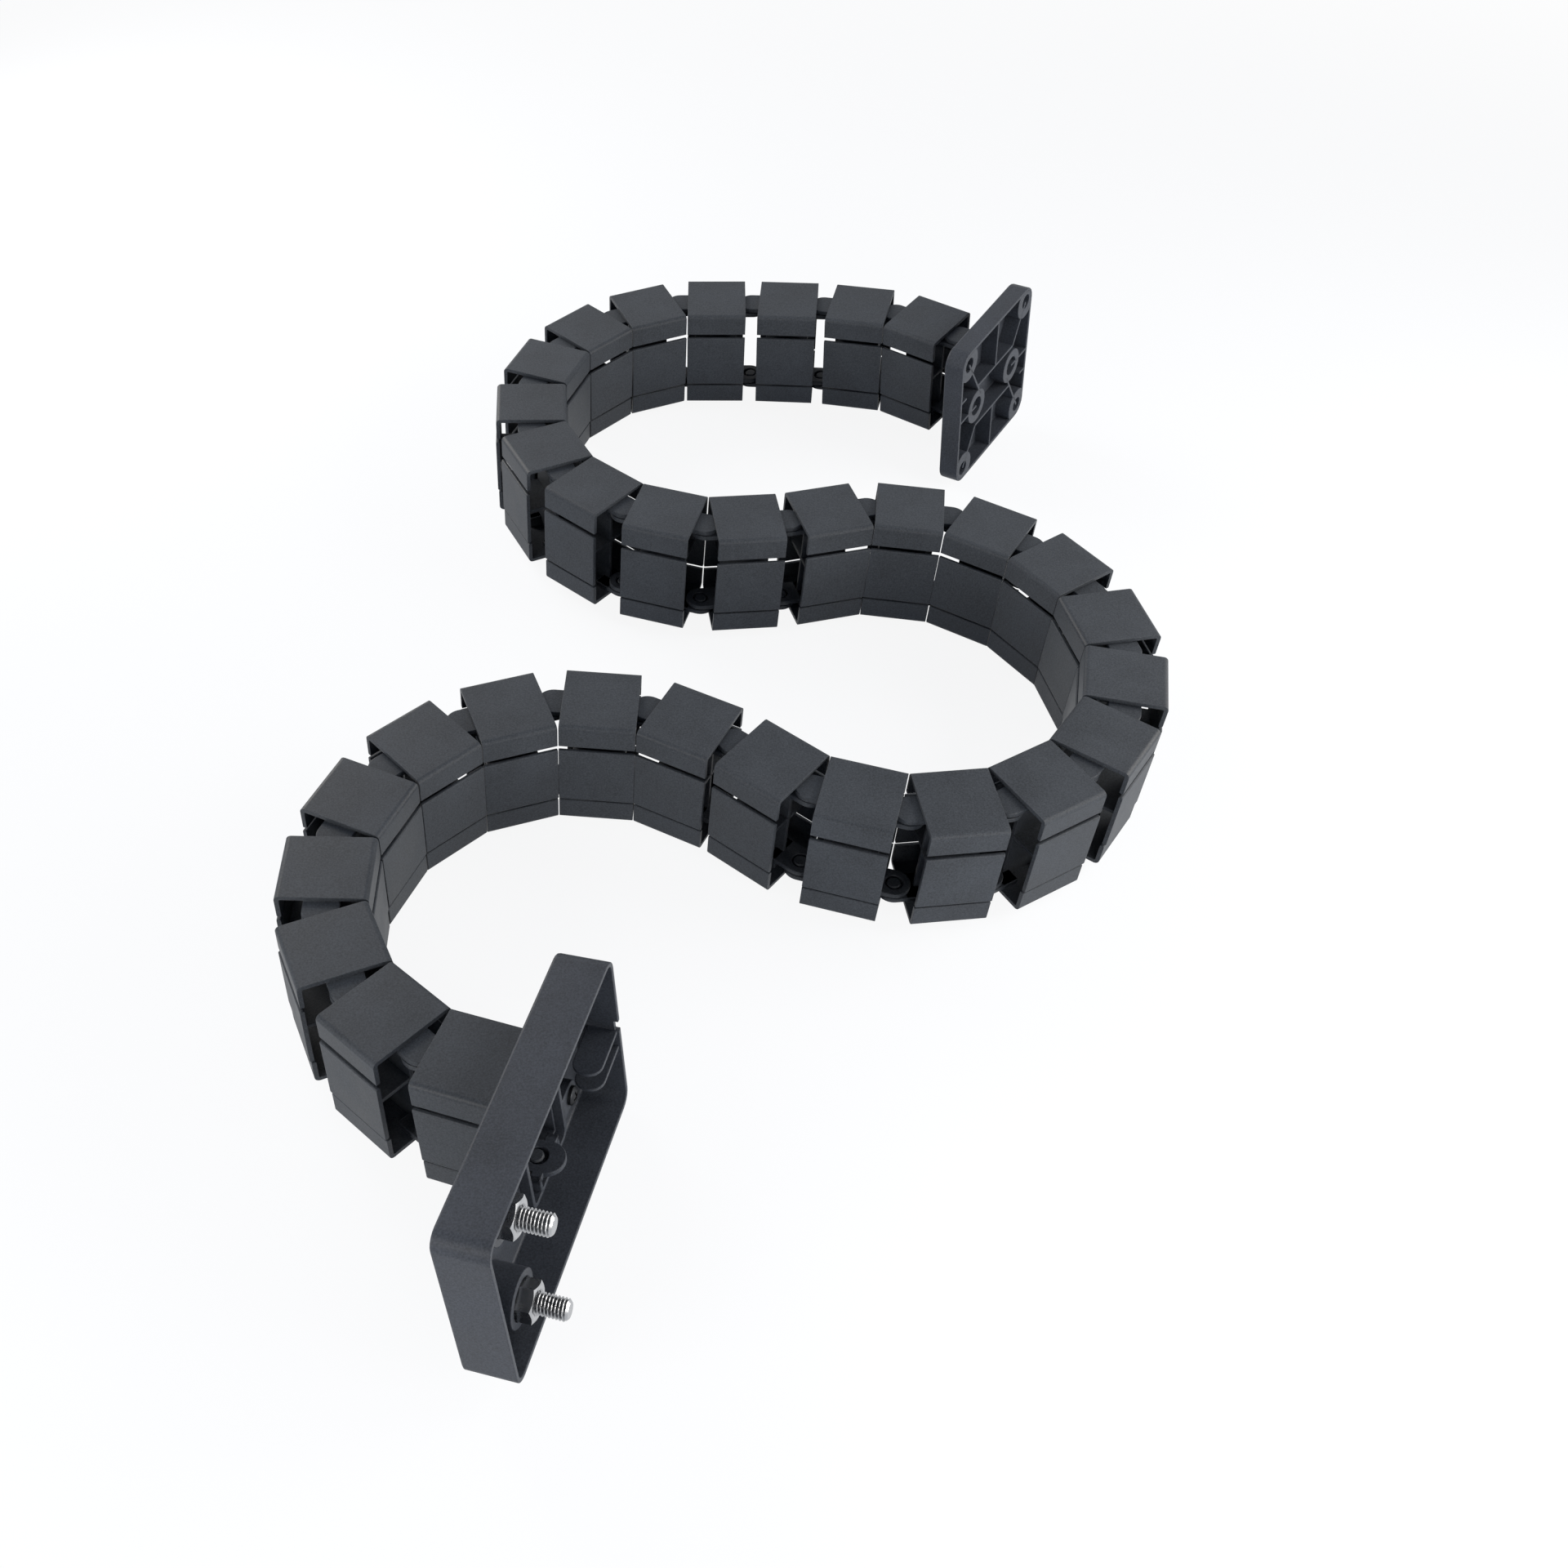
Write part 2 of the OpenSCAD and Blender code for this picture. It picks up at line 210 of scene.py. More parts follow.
# Places along a link and in the tray
LINK_L = PITCH - GAP
HINGE_X = PITCH / 2
BOND = WALL / 2
PANEL_W = LINK_W + 2 * PANEL_PROUD
CEILING = LINK_H / 2 - WALL
OUTER_Z = CEILING - LAYER_PLAY - TONGUE_T
INNER_Z = OUTER_Z - LAYER_PLAY - TONGUE_T
ROOT_X = HINGE_X - TONGUE_W / 2 - TIP_PLAY
TONGUE_ROOT = ROOT_X - ROOT_L
DIVIDER_L = LINK_L - 2 * DIVIDER_BACK
TRAY_X = SEAT_GAP - GAP / 2
FLOOR_X = TRAY_X + TRAY_WALL
NUT_X = FLOOR_X + PILLAR_H
OPENING_W = LINK_W - 2 * WALL
OPENING_H = 2 * (OUTER_Z + TONGUE_T + TIP_PLAY)
COLLAR_W = OPENING_W + 2 * WALL
CHEEK_Y = TONGUE_W / 2 + TIP_PLAY
EAR_R = SCREW_HEAD_R + WALL
EAR_Y = COLLAR_W / 2 + TIP_PLAY + EAR_R
EAR_Z = OPENING_H / 2 - 2 * EAR_R
EAR_BOSS_H = COLLAR_H - EAR_T
BOLT_SIDE = TRAY_L / 2 - BOLT_END
SEAT_R = HEX_W / np.sqrt(3) + PLAY


# Frames along the chain

def shift(x, y=0, z=0):
    """Matrix that moves by x, y and z."""
    matrix = np.eye(4)
    matrix[:3, 3] = x, y, z
    return matrix


def turn(axis, degrees):
    """Matrix that turns about one axis, 0 to 2 for X to Z."""
    matrix = np.eye(4)
    a, b = (axis + 1) % 3, (axis + 2) % 3
    cos, sin = np.cos(np.radians(degrees)), np.sin(np.radians(degrees))
    matrix[a, a] = matrix[b, b] = cos
    matrix[a, b], matrix[b, a] = -sin, sin
    return matrix


def hinge_angles():
    """Bend and climb of each hinge in degrees, from the plate to the tray."""
    bends = np.repeat([bend for _, bend in STRETCHES], [count for count, _ in STRETCHES])
    climbs = np.zeros(len(bends))
    climbs[:PLATE_HINGES] = PLATE_CLIMB
    climbs[-1 - BASE_HINGES:-1] = BASE_CLIMB
    climbs[-1] = TRAY_CLIMB
    return bends, climbs


def link_ends():
    """Distance from the middle of each link to its ends.

    The ends reach a little past the link's length, less where a climb tilts two neighbours towards each
    other: by half of what the tilt takes at the top edge."""
    climb = hinge_angles()[1]
    steepest = np.maximum(climb[:-1], climb[1:])
    return LINK_L / 2 + END_REACH - LINK_H / 4 * np.sin(np.radians(np.minimum(steepest, BASE_CLIMB)))


def chain_frames():
    """Frames of the plate, of the links in order and of the tray.

    The walk starts at the middle link and goes half a pitch, the hinge's bend and climb, and half a pitch
    to the next link on either side; then all is moved so that the plate's face is the origin."""
    bends, climbs = hinge_angles()
    hinges = [turn(2, bend) @ turn(1, -climb) for bend, climb in zip(bends, climbs)]
    half = shift(HINGE_X)
    links = {len(bends) // 2: turn(2, MID_HEADING)}
    for i in range(len(bends) // 2, len(bends) - 1):
        links[i + 1] = links[i] @ half @ hinges[i] @ half
    for i in range(len(bends) // 2, 1, -1):
        links[i - 1] = links[i] @ np.linalg.inv(half @ hinges[i - 1] @ half)
    plate = links[1] @ np.linalg.inv(hinges[0] @ half) @ shift(-PLATE_REACH - PLATE_T)
    tray = links[len(links)] @ half @ hinges[-1]
    home = shift(*-plate[:3, 3])
    return home @ plate, [home @ links[i + 1] for i in range(len(links))], home @ tray


# Outlines: closed rows of points (a, b), counter-clockwise

def unit(vectors):
    """Vectors divided by their own lengths."""
    return vectors / np.linalg.norm(vectors, axis=-1, keepdims=True)


def outline(corners, radius, steps=ARC_STEPS):
    """Outline with round corners: at each corner an arc of its radius touches both sides.

    The arc starts where it touches the side before and turns by the change of direction."""
    corner = np.asarray(corners, float)
    r = np.broadcast_to(np.asarray(radius, float), len(corner))[:, None]
    to_last = unit(np.roll(corner, 1, 0) - corner)
    to_next = unit(np.roll(corner, -1, 0) - corner)
    half = np.arccos((to_last * to_next).sum(1, keepdims=True)) / 2
    centre = corner + unit(to_last + to_next) * r / np.sin(half)
    start = corner + to_last * r / np.tan(half) - centre
    side = np.sign(to_last[:, :1] * to_next[:, 1:] - to_last[:, 1:] * to_next[:, :1])
    angle = np.linspace(0, 1, steps + 1) * -side * (np.pi - 2 * half)
    cos, sin = np.cos(angle), np.sin(angle)
    arc = np.stack((start[:, :1] * cos - start[:, 1:] * sin, start[:, :1] * sin + start[:, 1:] * cos), -1)
    ring = (centre[:, None] + arc).reshape(-1, 2)
    return ring[np.linalg.norm(np.roll(ring, -1, 0) - ring, axis=1) > SAME_POINT]


def rectangle(a0, a1, b0, b1, radius):
    """Rectangle from a0 to a1 and from b0 to b1, with round corners."""
    return outline(((a1, b0), (a1, b1), (a0, b1), (a0, b0)), radius)


def directions(count):
    """Angles of a full turn in equal steps."""
    return np.linspace(0, 2 * np.pi, count, endpoint=False)


def circle(a, b, r, count=BORE_POINTS):
    """Circle about (a, b): the radius times the cosine and sine of each direction."""
    angle = directions(count)
    return np.column_stack((a + r * np.cos(angle), b + r * np.sin(angle)))


def dense(ring, step):
    """The same outline with points added along its straight stretches, at most a step apart."""
    ends = np.vstack((ring, ring[:1]))
    way = np.concatenate(([0], np.cumsum(np.linalg.norm(np.diff(ends, axis=0), axis=1))))
    spots = np.unique(np.concatenate((way[:-1], np.arange(0, way[-1], step))))
    spots = spots[np.diff(np.append(spots, way[-1])) > SAME_SPOT]
    return np.column_stack((np.interp(spots, way, ends[:, 0]), np.interp(spots, way, ends[:, 1])))


def around(ring, a, b, r):
    """Circle with one point towards each point of an outline."""
    return np.array((a, b)) + r * unit(ring - (a, b))


def inset(ring, depth):
    """Outline moved inwards by a depth, each point along the mitre of its two sides."""
    side = unit(np.roll(ring, -1, 0) - ring)
    inward = np.column_stack((-side[:, 1], side[:, 0]))
    before = np.roll(inward, 1, 0)
    return ring + depth * (inward + before) / (1 + (inward * before).sum(1, keepdims=True))


# Shells: points and faces

# Which of an outline's two directions and its height goes along X, Y and Z, by the axis of the height
ORDER = {"x": (2, 0, 1), "z": (0, 1, 2)}


def rings(steps, axis):
    """Grid of points: one ring for each (outline, inset, height), the height measured along the axis."""
    flat = [np.column_stack((inset(ring, deep), np.full(len(ring), high))) for ring, deep, high in steps]
    return np.array(flat)[..., ORDER[axis]]


def skin(grid, closed=False):
    """Shell over a grid of rings: quads from ring to ring, and the ends capped or joined to each other."""
    rows, count = grid.shape[:2]
    row = np.arange(rows if closed else rows - 1)[:, None]
    spot = np.arange(count)
    after = (row + 1) % rows
    beside = (spot + 1) % count
    corners = (row * count + spot, row * count + beside, after * count + beside, after * count + spot)
    faces = np.stack(corners, -1).reshape(-1, 4).tolist()
    if not closed:
        faces += [spot[::-1].tolist(), (spot + (rows - 1) * count).tolist()]
    return grid.reshape(-1, 3), faces


def quarter(edge):
    """Quarter round as (inset, depth) pairs, from the end face round to the side."""
    angle = np.linspace(0, np.pi / 2, EDGE_STEPS + 1)
    return list(zip(edge * (1 - np.sin(angle)), edge * (1 - np.cos(angle))))


def side_steps(ring, low, high, edge):
    """Steps up the side of a prism: a quarter round at its low end and another at its high end."""
    start = [(ring, deep, low + up) for deep, up in quarter(edge)]
    return start + [(ring, deep, high - up) for deep, up in quarter(edge)[::-1]]


def prism(ring, low, high, edge, axis):
    """An outline carried along an axis from low to high, with both end edges rounded."""
    return skin(rings(side_steps(ring, low, high, edge), axis))


def pierced(ring, hole, low, high, edge, axis):
    """A prism with a hole through it: up the outside, over the top, down the hole and back underneath."""
    inside = [(hole, -deep, height) for _, deep, height in side_steps(hole, low, high, edge)[::-1]]
    return skin(rings(side_steps(ring, low, high, edge) + inside, axis), closed=True)


def turned(profile, a, b, axis, count=TURNED_POINTS):
    """A profile of (radius, height) pairs turned about an axis through (a, b), with flat ends."""
    return skin(rings([(circle(a, b, radius, count), 0, high) for radius, high in profile], axis))


def joined(*shells):
    """Several shells as one list of points and faces."""
    starts = np.cumsum([0] + [len(points) for points, _ in shells])
    faces = [[int(start) + corner for corner in face]
             for start, (_, part) in zip(starts, shells) for face in part]
    return np.vstack([points for points, _ in shells]), faces


def carried(shell, matrix):
    """A shell turned and moved by a matrix."""
    points, faces = shell
    return points @ matrix[:3, :3].T + matrix[:3, 3], faces


def mirrored(shell, axis):
    """A shell mirrored along one axis, 0 to 2, with its faces turned back outwards."""
    points, faces = shell
    flip = np.ones(3)
    flip[axis] = -1
    return points * flip, [face[::-1] for face in faces]


def both_ways(shell):
    """A shell and its mirror image below."""
    return joined(shell, mirrored(shell, 2))


# Pieces of the chain

def tongue_outline(root):
    """Tongue seen from above: straight from its root, with a half-round tip about the hinge."""
    half = TONGUE_W / 2
    tip = HINGE_X + half
    corners = ((root, -half), (tip, -half), (tip, half), (root, half))
    return outline(corners, (SOFT_R, half, half, SOFT_R), TONGUE_STEPS)


def tongue_block(root, tip, low):
    """Block that ties a tongue to the wall above it."""
    half = TONGUE_W / 2
    return prism(rectangle(root, tip, -half, half, SOFT_R), low, LINK_H / 2 - BOND, END_R, "z")


def pin_tongues(root, tip):
    """Outer tongues, top and bottom, each with a chamfered pin that points inwards."""
    tongue = prism(tongue_outline(root), OUTER_Z, OUTER_Z + TONGUE_T, LIP_R, "z")
    end = OUTER_Z - LAYER_PLAY - TONGUE_T
    profile = ((PIN_R - PIN_CHAMFER, end), (PIN_R, end + PIN_CHAMFER), (PIN_R, OUTER_Z + BOND))
    pin = turned(profile, HINGE_X, 0, "z", PIN_POINTS)
    return both_ways(joined(tongue, pin, tongue_block(root, tip, OUTER_Z)))


def eye_tongues(root):
    """Inner tongues, top and bottom, each with an eye for the neighbour's pin."""
    ring = dense(tongue_outline(root), EYE_STEP)
    eye = around(ring, HINGE_X, 0, PIN_R + EYE_PLAY)
    tongue = pierced(ring, eye, INNER_Z, INNER_Z + TONGUE_T, LIP_R, "z")
    return both_ways(joined(tongue, tongue_block(root, ROOT_X, INNER_Z)))


def channel(end):
    """Top channel: a U-section carried along the link, its long edges rounded."""
    y, top = LINK_W / 2, LINK_H / 2
    low = top - CHANNEL_H
    corners = ((y, low), (y, top), (-y, top), (-y, low),
               (WALL - y, low), (WALL - y, CEILING), (y - WALL, CEILING), (y - WALL, low))
    radii = (LIP_R, EDGE_R, EDGE_R, LIP_R, LIP_R, SOFT_R, SOFT_R, LIP_R)
    return prism(outline(corners, radii), -end, end, FINE_R, "x")


def side_panels(end):
    """Panels between the slits, proud of the channels; each end is drawn in by a slight taper."""
    low, high = CHANNEL_H + LOWER_SLIT - LINK_H / 2, LINK_H / 2 - CHANNEL_H - UPPER_SLIT
    ring = rectangle(PANEL_W / 2 - WALL, PANEL_W / 2, low, high, PANEL_R)
    start = [(ring, TAPER, -end), (ring, 0, TAPER_L - end)]
    stop = [(ring, 0, end - TAPER_L), (ring, TAPER, end)]
    panel = skin(rings(start + stop, "x"))
    return joined(panel, mirrored(panel, 1))


def dividers():
    """Upright web and level shelf that part the link into four chambers."""
    tall, wide, half = LINK_H / 2 - BOND, PANEL_W / 2 - BOND, DIVIDER / 2
    web = prism(rectangle(-half, half, -tall, tall, LIP_R), -DIVIDER_L / 2, DIVIDER_L / 2, END_R, "x")
    shelf = prism(rectangle(-wide, wide, -half, half, LIP_R), -DIVIDER_L / 2, DIVIDER_L / 2, END_R, "x")
    return joined(web, shelf)


def link(end):
    """One link: two channels, two panels, the dividers, pins at the head and eyes at the tail."""
    return joined(both_ways(channel(end)), side_panels(end), dividers(),
                  pin_tongues(TONGUE_ROOT, LINK_L / 2), mirrored(eye_tongues(TONGUE_ROOT), 0))


# Pieces of the plate

def plate_cup():
    """Rim and skin of the plate: from the skin's front down the rim's inside, round its edge and up its
    outside to the back."""
    half = PLATE_SIDE / 2
    ring = rectangle(-half, half, -half, half, PLATE_R)
    skin_x = PLATE_T - SKIN_T
    inside = [(ring, RIM_T + deep, skin_x - up) for deep, up in quarter(SOFT_R)]
    rim = [(ring, RIM_T - deep, up) for deep, up in quarter(END_R)[::-1]]
    outside = [(ring, deep, up) for deep, up in quarter(END_R)]
    back = [(ring, deep, PLATE_T - up) for deep, up in quarter(TRAY_EDGE_R)[::-1]]
    return skin(rings(inside + rim + outside + back, "x"))


def rib(start, stop):
    """Rib of the plate between two points of its face."""
    start, stop = np.array(start, float), np.array(stop, float)
    along = unit(stop - start)
    across = np.array((-along[1], along[0])) * RIB_T / 2
    corners = (start - across, stop - across, stop + across, start + across)
    return prism(outline(corners, LIP_R), 0, PLATE_T - BOND, END_R, "x")


def plate_ribs():
    """Ribs of one half of the plate and the same after half a turn."""
    edge = (PLATE_SIDE - RIM_T) / 2
    hole, screw = HOLE_SPACING / 2, SCREW_SPACING / 2
    lines = (((-screw, RIB_ROW), (screw, RIB_ROW)), ((0, RIB_ROW), (0, edge)), ((-edge, 0), (-screw, 0)),
             ((edge - RIB_STUB, RIB_ROW), (edge, RIB_ROW)),
             ((hole, hole), (screw - SCREW_BOSS_R / 2, SCREW_BOSS_R / 2)),
             ((-hole, hole), (-screw, RIB_ROW)))
    half = joined(*[rib(start, stop) for start, stop in lines])
    return joined(half, carried(half, turn(0, 180)))


def within_rim(ring):
    """Outline whose points outside the middle of the plate's rim are moved to it: a rounded square, so the
    nearest point of its core square plus at most its corner radius."""
    half, r = (PLATE_SIDE - RIM_T) / 2, PLATE_R - RIM_T / 2
    core = np.clip(ring, r - half, half - r)
    out = ring - core
    reach = np.linalg.norm(out, axis=1, keepdims=True)
    return core + out * np.minimum(1, r / np.maximum(reach, r))


def boss(y, z, outer, mouth, bore):
    """Tube between the plate's face and its skin, with a wide mouth at the face and a narrower bore."""
    ring = within_rim(circle(y, z, outer))
    wide, narrow = around(ring, y, z, mouth), around(ring, y, z, bore)
    outside = [(ring, deep, up) for deep, up in quarter(END_R)] + [(ring, 0, PLATE_T - BOND)]
    inside = [(narrow, 0, PLATE_T - BOND), (narrow, 0, HOLE_MOUTH_D), (wide, 0, HOLE_MOUTH_D)]
    inside += [(wide, -deep, up) for deep, up in quarter(END_R)[::-1]]
    return skin(rings(outside + inside, "x"), closed=True)


def hole_spots():
    """Places (y, z) of the plate's corner holes."""
    hole = HOLE_SPACING / 2
    return [(y, z) for y in (-hole, hole) for z in (-hole, hole)]


def plate_bosses():
    """Bosses of the four corner holes and of the two screws in the middle."""
    screw = SCREW_SPACING / 2
    corners = [boss(y, z, HOLE_BOSS_R, HOLE_MOUTH_R, HOLE_R) for y, z in hole_spots()]
    middle = [boss(y, 0, SCREW_BOSS_R, SCREW_MOUTH_R, SCREW_HEAD_R + HEAD_PLAY) for y in (-screw, screw)]
    return joined(*corners, *middle)


def corner_drills():
    """Rods that cut the corner holes through the plate's skin."""
    return joined(*[prism(circle(y, z, HOLE_R), -OVERRUN, PLATE_T + OVERRUN, END_R, "x")
                    for y, z in hole_spots()])


def plate_connector():
    """Cross-shaped flange behind the plate, with the pins for the first link."""
    to_hinge = PLATE_T + PLATE_REACH - HINGE_X
    front = PLATE_T + FLANGE_T
    long, wide, tall = SCREW_SPACING / 2 + EAR_R, FLANGE_W / 2, LINK_H / 2 - BOND
    level = prism(rectangle(-long, long, -wide, wide, EDGE_R), PLATE_T, front, SOFT_R, "x")
    upright = prism(rectangle(-wide, wide, -tall, tall, EDGE_R), PLATE_T, front, SOFT_R, "x")
    return joined(level, upright, carried(pin_tongues(PLATE_T - to_hinge, ROOT_X), shift(to_hinge)))


# Pieces of the tray

def tray_shell():
    """Tray as one closed sheet: up the outside, round the rim, down the inside and back through the chain's
    opening."""
    half_l, half_h = TRAY_L / 2, TRAY_H / 2
    ring = rectangle(-TRAY_SIDE - half_l, half_l - TRAY_SIDE, -half_h, half_h, TRAY_R)
    hole = rectangle(-OPENING_W / 2, OPENING_W / 2, -OPENING_H / 2, OPENING_H / 2, EDGE_R)
    rim_x = TRAY_X + TRAY_D
    outside = [(ring, deep, TRAY_X + up) for deep, up in quarter(TRAY_EDGE_R)]
    outside += [(ring, deep, rim_x - up) for deep, up in quarter(END_R)[::-1]]
    inside = [(ring, TRAY_WALL - deep, rim_x - up) for deep, up in quarter(END_R)]
    inside += [(ring, TRAY_WALL + deep, FLOOR_X + up) for deep, up in quarter(TRAY_EDGE_R)[::-1]]
    through = [(hole, 0, FLOOR_X), (hole, 0, TRAY_X)]
    return skin(rings(outside + inside + through, "x"), closed=True)


def tray_notch():
    """Block cut out of the far rim above the cable clips."""
    far = TRAY_L / 2 - TRAY_SIDE
    ring = rectangle(far - 2 * TRAY_WALL, far + TRAY_WALL, CLIP_T / 2, CLIP_T / 2 + NOTCH_H, LIP_R)
    return prism(ring, TRAY_X + TRAY_D - NOTCH_D, TRAY_X + TRAY_D + NOTCH_D, END_R, "x")


def cable_clips():
    """Two level tongues with round ends, just below the rim at the far wall."""
    far = TRAY_L / 2 - TRAY_SIDE - TRAY_WALL
    high = TRAY_X + TRAY_D - CLIP_DEPTH
    low, round_r = high - CLIP_W, CLIP_W / 2 - END_R
    corners = ((low, far - CLIP_L), (high, far - CLIP_L), (high, far + BOND), (low, far + BOND))
    ring = outline(corners, (round_r, round_r, LIP_R, LIP_R), CLIP_STEPS)
    return joined(*[prism(ring, z - CLIP_T / 2, z + CLIP_T / 2, END_R, "z") for z in (0, -CLIP_GAP)])


def bolt_spots():
    """Places (y, z) of the upper and the lower bolt."""
    return [(-TRAY_SIDE - BOLT_SIDE, side * BOLT_SPACING / 2) for side in (1, -1)]


def ear_spots():
    """Places (y, z) of the collar's two ears, half a turn apart."""
    return [(side * EAR_Y, -side * EAR_Z) for side in (1, -1)]


def pillar(y, z):
    """Bolt pillar with a lip round the seat of the nut."""
    seat, lip = NUT_X, NUT_X + LIP_H
    outside = [(PILLAR_R, TRAY_X + BOND)]
    outside += [(PILLAR_R - deep, lip - up) for deep, up in quarter(END_R)[::-1]]
    inside = [(SEAT_R + deep, lip - up) for deep, up in quarter(END_R)]
    inside += [(SEAT_R, seat), (BOLT_R + PLAY, seat), (BOLT_R - PLAY, seat - PLAY)]
    return turned(outside + inside, y, z, "x")


def ear_boss(y, z):
    """Boss on the tray's floor that carries an ear."""
    return prism(circle(y, z, EAR_R), TRAY_X + BOND, FLOOR_X + EAR_BOSS_H, END_R, "x")


def head_recess(y, z):
    """Hexagonal recess for a bolt's head in the back of the tray."""
    return prism(circle(y, z, SEAT_R, 6), TRAY_X - OVERRUN, FLOOR_X - BOND / 2, PLAY, "x")


def tray_fittings():
    """What stands on the tray's floor and wall: clips, bolt pillars and ear bosses."""
    return joined(cable_clips(), *[pillar(y, z) for y, z in bolt_spots()],
                  *[ear_boss(y, z) for y, z in ear_spots()])


def saddles():
    """Plates over the last link's tongues, top and bottom: a stadium about the hinge with an eye for the
    pin, between two wings whose cheeks stand on the collar."""
    half, low, high = TONGUE_W / 2, INNER_Z, INNER_Z + TONGUE_T
    front = SADDLE_L + half
    corners = ((-half, -half), (front, -half), (front, half), (-half, half))
    ring = dense(outline(corners, half, TONGUE_STEPS), EYE_STEP)
    plate = pierced(ring, around(ring, 0, 0, PIN_R + EYE_PLAY), low, high, LIP_R, "z")
    back, top, side = FLOOR_X, FLOOR_X + COLLAR_H, CHEEK_Y + WALL
    wing = prism(rectangle(back, top, half - SOFT_R, side, LIP_R), low, high, END_R, "z")
    cheek = prism(rectangle(back, top, CHEEK_Y, side, LIP_R), low, OPENING_H / 2 + BOND, END_R, "z")
    arm = joined(wing, cheek)
    return both_ways(joined(plate, arm, mirrored(arm, 1)))


def skirts():
    """Thin side walls and ledges of the collar that reach back through the opening into the link's mouth."""
    back, front = -GAP / 2 - SKIRT_DEPTH, FLOOR_X + BOND
    side, tall = OPENING_W / 2 - SKIRT_PLAY, CEILING - SKIRT_PLAY
    wall = prism(rectangle(side - SKIRT_T, side, -tall, tall, END_R), back, front, END_R, "x")
    ledge = prism(rectangle(CHEEK_Y, side, tall - SKIRT_T, tall, END_R), back, front, END_R, "x")
    half = joined(wall, both_ways(ledge))
    return joined(half, mirrored(half, 1))


def base_connector():
    """Collar round the opening, with its skirts, the saddles and two screwed ears."""
    w, h = OPENING_W / 2, OPENING_H / 2
    top = FLOOR_X + COLLAR_H
    collar = pierced(rectangle(-w - WALL, w + WALL, -h - WALL, h + WALL, EDGE_R + WALL),
                     rectangle(-w, w, -h, h, EDGE_R), FLOOR_X, top, END_R, "x")
    root, tip = COLLAR_W / 2 - BOND, EAR_Y + EAR_R
    low, high = -EAR_Z - EAR_R, EAR_R - EAR_Z
    corners = ((root, low), (tip, low), (tip, high), (root, high))
    ring = outline(corners, (LIP_R, EAR_R, EAR_R, LIP_R), EAR_STEPS)
    ear = prism(ring, top - EAR_T, top, END_R, "x")
    return joined(collar, skirts(), saddles(), ear, carried(ear, turn(0, 180)))


# Fasteners, along X with the underside of the head at 0

def hexagon_at(angle, width):
    """Distance from the middle to the side of a hexagon in a given direction."""
    folded = (angle + np.pi / 6) % (np.pi / 3) - np.pi / 6
    return width / 2 / np.cos(folded)


def polar_grid(radii, heights):
    """Grid of rings along X, with a radius and a height for each direction."""
    angle = directions(radii.shape[1])
    return np.stack((heights, radii * np.cos(angle), radii * np.sin(angle)), -1)


def coned(radius, high):
    """Height of a hexagon's end face: flat in the middle, then falling with the radius as a cone."""
    return high - np.tan(np.radians(CONE_DEG)) * np.maximum(0, radius - CONE_FROM * HEX_W)


def hex_nut():
    """Hexagon nut as a closed grid: in over one coned face, down its bore, out over the other face and up
    its flats."""
    flats = hexagon_at(directions(HEX_POINTS), HEX_W)
    share = np.linspace(0, 1, FACE_ROWS)[:, None]
    face = flats + (BOLT_R + NUT_MOUTH - flats) * share
    over = coned(face, NUT_H)
    under = NUT_H - over
    bore = np.full((2, HEX_POINTS), BOLT_R + PLAY / 2)
    bore_x = np.repeat([[NUT_H - NUT_SINK], [NUT_SINK]], HEX_POINTS, 1)
    radii = np.vstack((face, bore, face[::-1]))
    heights = np.vstack((over, bore_x, under[::-1]))
    return skin(polar_grid(radii, heights), closed=True)


def bolt_head():
    """Hexagon head: its underside is flat, its free face coned at the corners."""
    flats = hexagon_at(directions(HEX_POINTS), HEX_W)
    face = flats * np.linspace(HEAD_CORE, 1, FACE_ROWS)[:, None]
    radii = np.vstack((face, face[::-1]))
    heights = np.vstack((-coned(face, HEAD_H), np.zeros_like(face)))
    return skin(polar_grid(radii, heights))


def threaded_shank():
    """Shank whose radius follows a thread with flat crests and roots: a triangle wave of height and turn,
    made steeper and clipped, and cut by the cone of the tip."""
    start = NUT_X - TRAY_X - HEAD_H
    rows = int((BOLT_L - start) / THREAD_PITCH * TURN_ROWS)
    height = np.linspace(start, BOLT_L, rows)[:, None]
    phase = (height / THREAD_PITCH - directions(TURNED_POINTS) / (2 * np.pi)) % 1
    depth = THREAD_DEPTH * THREAD_PITCH
    triangle = 1 - np.abs(2 * phase - 1)
    wave = np.clip(THREAD_STEEP * triangle - (THREAD_STEEP - 1) / 2, 0, 1)
    tip = BOLT_R - TIP_CHAMFER + (BOLT_L - height)
    plain = np.full((2, TURNED_POINTS), BOLT_R - depth / 2)
    radii = np.vstack((plain, np.minimum(BOLT_R - depth * wave, tip)))
    heights = np.vstack((0, start, height)) + np.zeros(TURNED_POINTS)
    return skin(polar_grid(radii, heights))


def bolt():
    """Hexagon bolt: its head and its shank."""
    return joined(bolt_head(), threaded_shank())


